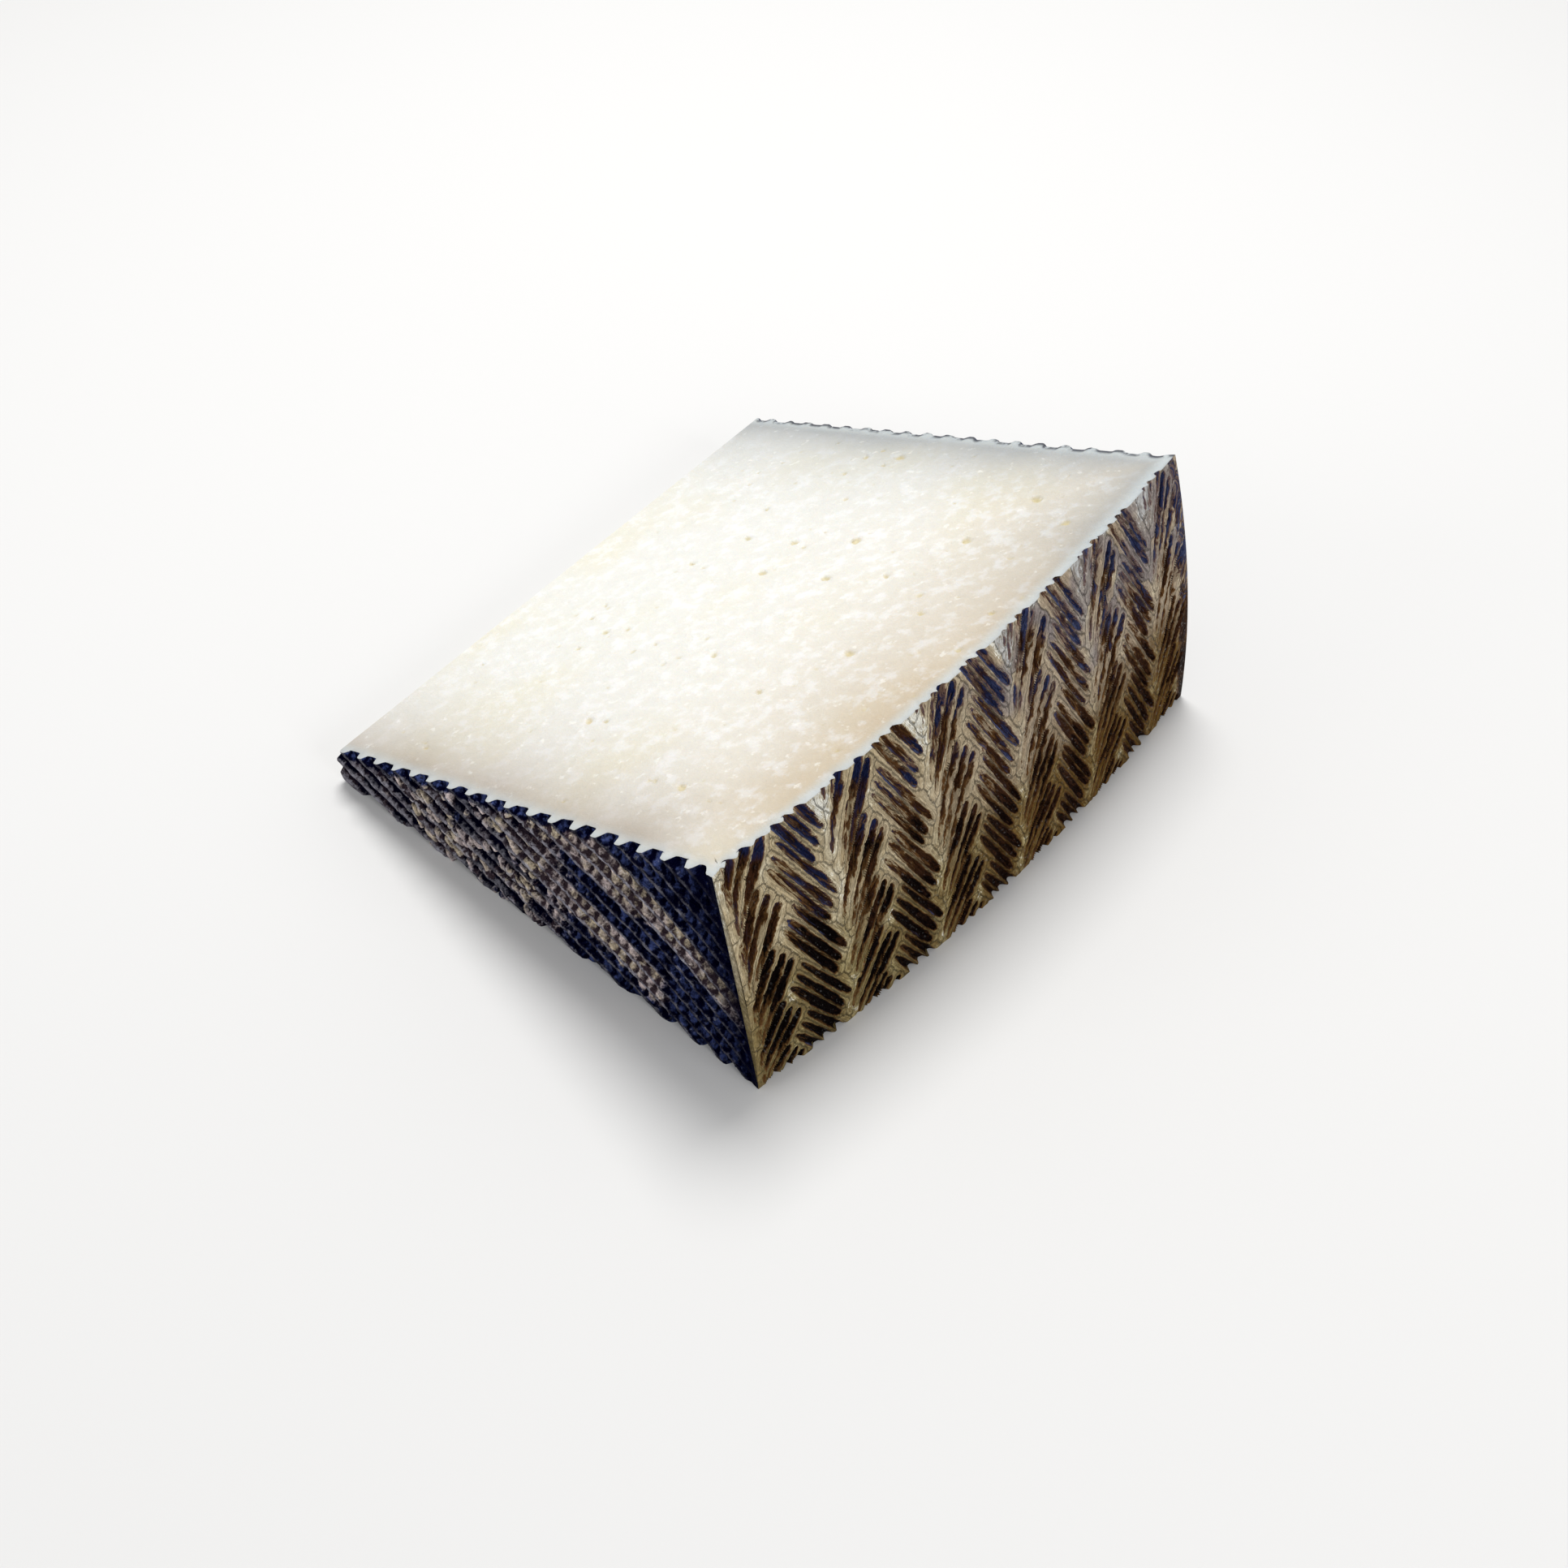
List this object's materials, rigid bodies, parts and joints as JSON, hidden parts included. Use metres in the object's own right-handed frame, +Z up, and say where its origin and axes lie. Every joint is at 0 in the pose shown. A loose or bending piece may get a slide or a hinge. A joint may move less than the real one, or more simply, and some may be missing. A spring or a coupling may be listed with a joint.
{
  "type": "manchego cheese wedge",
  "caption": "Wedge of hard sheep's-milk cheese lying on a cut face, with a dark herringbone-plaited rind, ridged flat sides, a blunt tip and ivory paste with small eyes.",
  "frame": {"origin": "middle of the bounding box at the base, on the surface that the wedge lies on", "axes": "+X from the blunt tip out to the rind, +Y along the wheel's axis from the shown flat side to the far one, +Z up"},
  "size_m": [0.1021, 0.108, 0.0451],
  "materials": {
    "paste": "soft, slightly moist ivory cheese paste",
    "rind": "dark oiled rind with pale beige ridges"
  },
  "bodies": {
    "root": {"cheese_wedge": "paste"}
  },
  "joints": []
}
